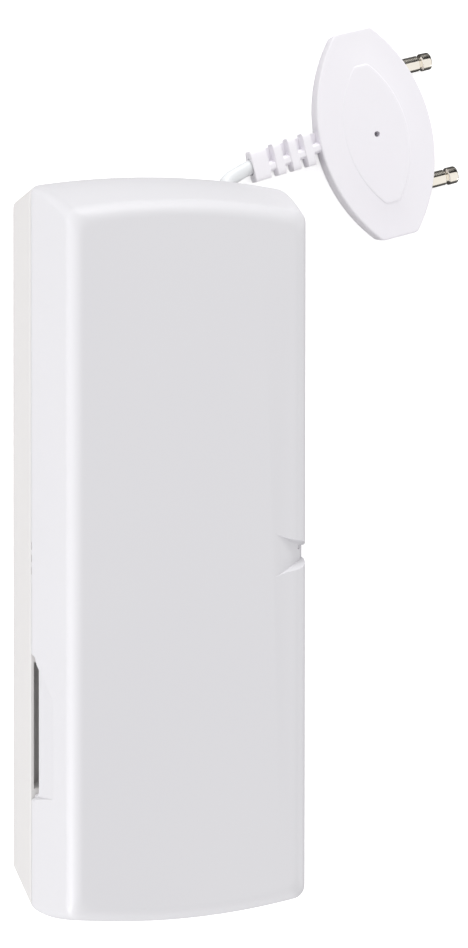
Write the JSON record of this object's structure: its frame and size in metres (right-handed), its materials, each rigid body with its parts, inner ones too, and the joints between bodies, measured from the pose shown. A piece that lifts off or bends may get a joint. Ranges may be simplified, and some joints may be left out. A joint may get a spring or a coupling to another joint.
{
  "type": "water leak sensor",
  "caption": "Slim white wireless case on its back, with a flat lens-shaped contact probe on a short lead from its end.",
  "frame": {"origin": "middle of the flat back of the case, on the surface that it lies on", "axes": "+X across the case towards the probe, +Y along the case towards the end that the lead leaves by, +Z out of the front"},
  "size_m": [0.0534, 0.0994, 0.0234],
  "materials": {
    "white_base": "fine moulded texture",
    "white_case": "fine moulded texture",
    "white_probe": "smooth moulding",
    "white_lead": "extruded jacket",
    "nickel": "nickel plated, polished",
    "steel": "zinc plated",
    "plated": "tin or nickel plated",
    "board": "green solder mask",
    "green_plastic": "moulded",
    "black_plastic": "moulded",
    "cell_sleeve": "shrunk sleeve",
    "red_lens": "clear tinted epoxy",
    "core_red": "extruded insulation",
    "core_blue": "extruded insulation"
  },
  "bodies": {
    "root": {"rear_base": "white_base", "front_cover": "white_case", "circuit_board": "board", "board_screw_1": "steel", "board_screw_2": "steel", "battery": "cell_sleeve", "battery_cradle": "black_plastic", "negative_contact": "plated", "positive_contact": "plated", "contact_spring": "plated", "terminal_block": "green_plastic", "terminal_screw_left": "steel", "terminal_screw_right": "steel", "radio_module": "plated", "controller_chip": "black_plastic", "crystal_can": "plated", "tamper_switch": "black_plastic", "capacitor": "black_plastic", "indicator_lamp": "red_lens", "aerial_coil": "plated", "probe_body": "white_probe", "probe_pin_1": "nickel", "probe_pin_2": "nickel", "lead": "white_lead", "lead_core_left": "core_red", "lead_core_right": "core_blue"}
  },
  "joints": []
}
